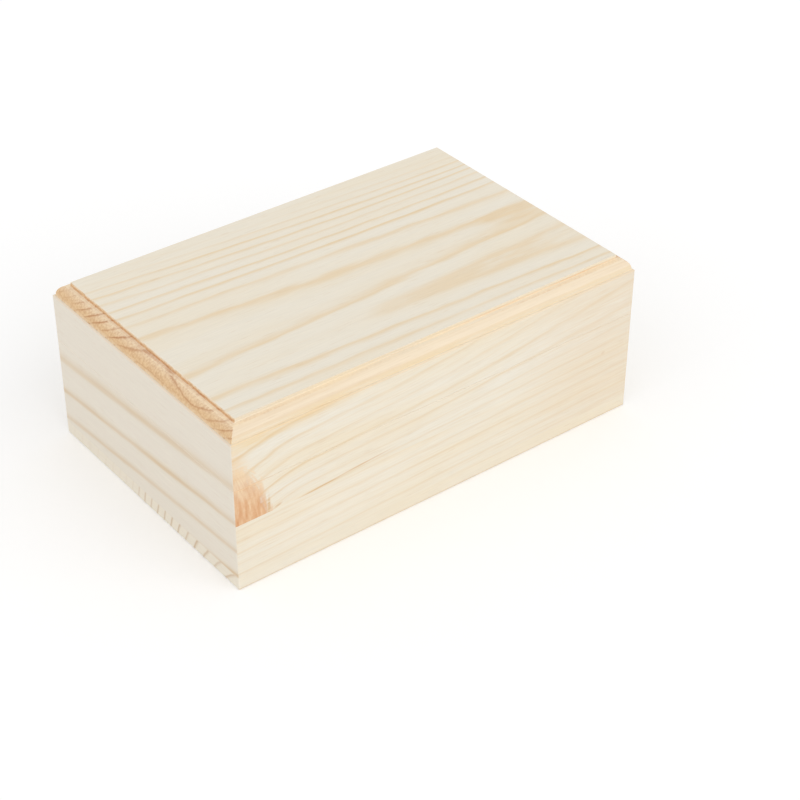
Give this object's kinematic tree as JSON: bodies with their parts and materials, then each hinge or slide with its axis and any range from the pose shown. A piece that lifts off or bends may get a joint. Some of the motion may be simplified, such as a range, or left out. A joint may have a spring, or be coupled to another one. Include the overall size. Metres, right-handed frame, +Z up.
{
  "type": "hinged wooden box",
  "caption": "Rectangular unfinished pine keepsake box with mitred walls, a moulded top panel and a lid that swings back on butt hinges let into the back rims.",
  "frame": {"origin": "middle of the underside of the bottom panel", "axes": "+X to the right along the box's length, +Y to the back where the hinges are, +Z up"},
  "size_m": [0.17, 0.1136, 0.0636],
  "materials": {
    "pine": "bare sanded pine",
    "brass": "satin pressed brass",
    "steel": "drawn wire"
  },
  "bodies": {
    "base": {"bottom_panel": "pine", "base_front_lower_strip": "pine", "base_front_upper_strip": "pine", "base_back_wall": "pine", "base_left_wall": "pine", "base_right_wall": "pine", "left_hinge_base_leaf": "brass", "right_hinge_base_leaf": "brass", "left_hinge_pin": "steel", "right_hinge_pin": "steel", "left_hinge_base_screws": "brass", "right_hinge_base_screws": "brass"},
    "lid": {"lid_top_panel": "pine", "lid_front_rail": "pine", "lid_back_rail": "pine", "lid_left_rail": "pine", "lid_right_rail": "pine", "left_hinge_lid_leaf": "brass", "right_hinge_lid_leaf": "brass", "left_hinge_lid_screws": "brass", "right_hinge_lid_screws": "brass"}
  },
  "joints": [
    {"name": "lid_hinge", "type": "hinge", "parent": "base", "child": "lid", "pos_m": [0, 0.05694, 0.04002], "axis": [-1, 0, 0], "range_deg": [0, 180]}
  ]
}
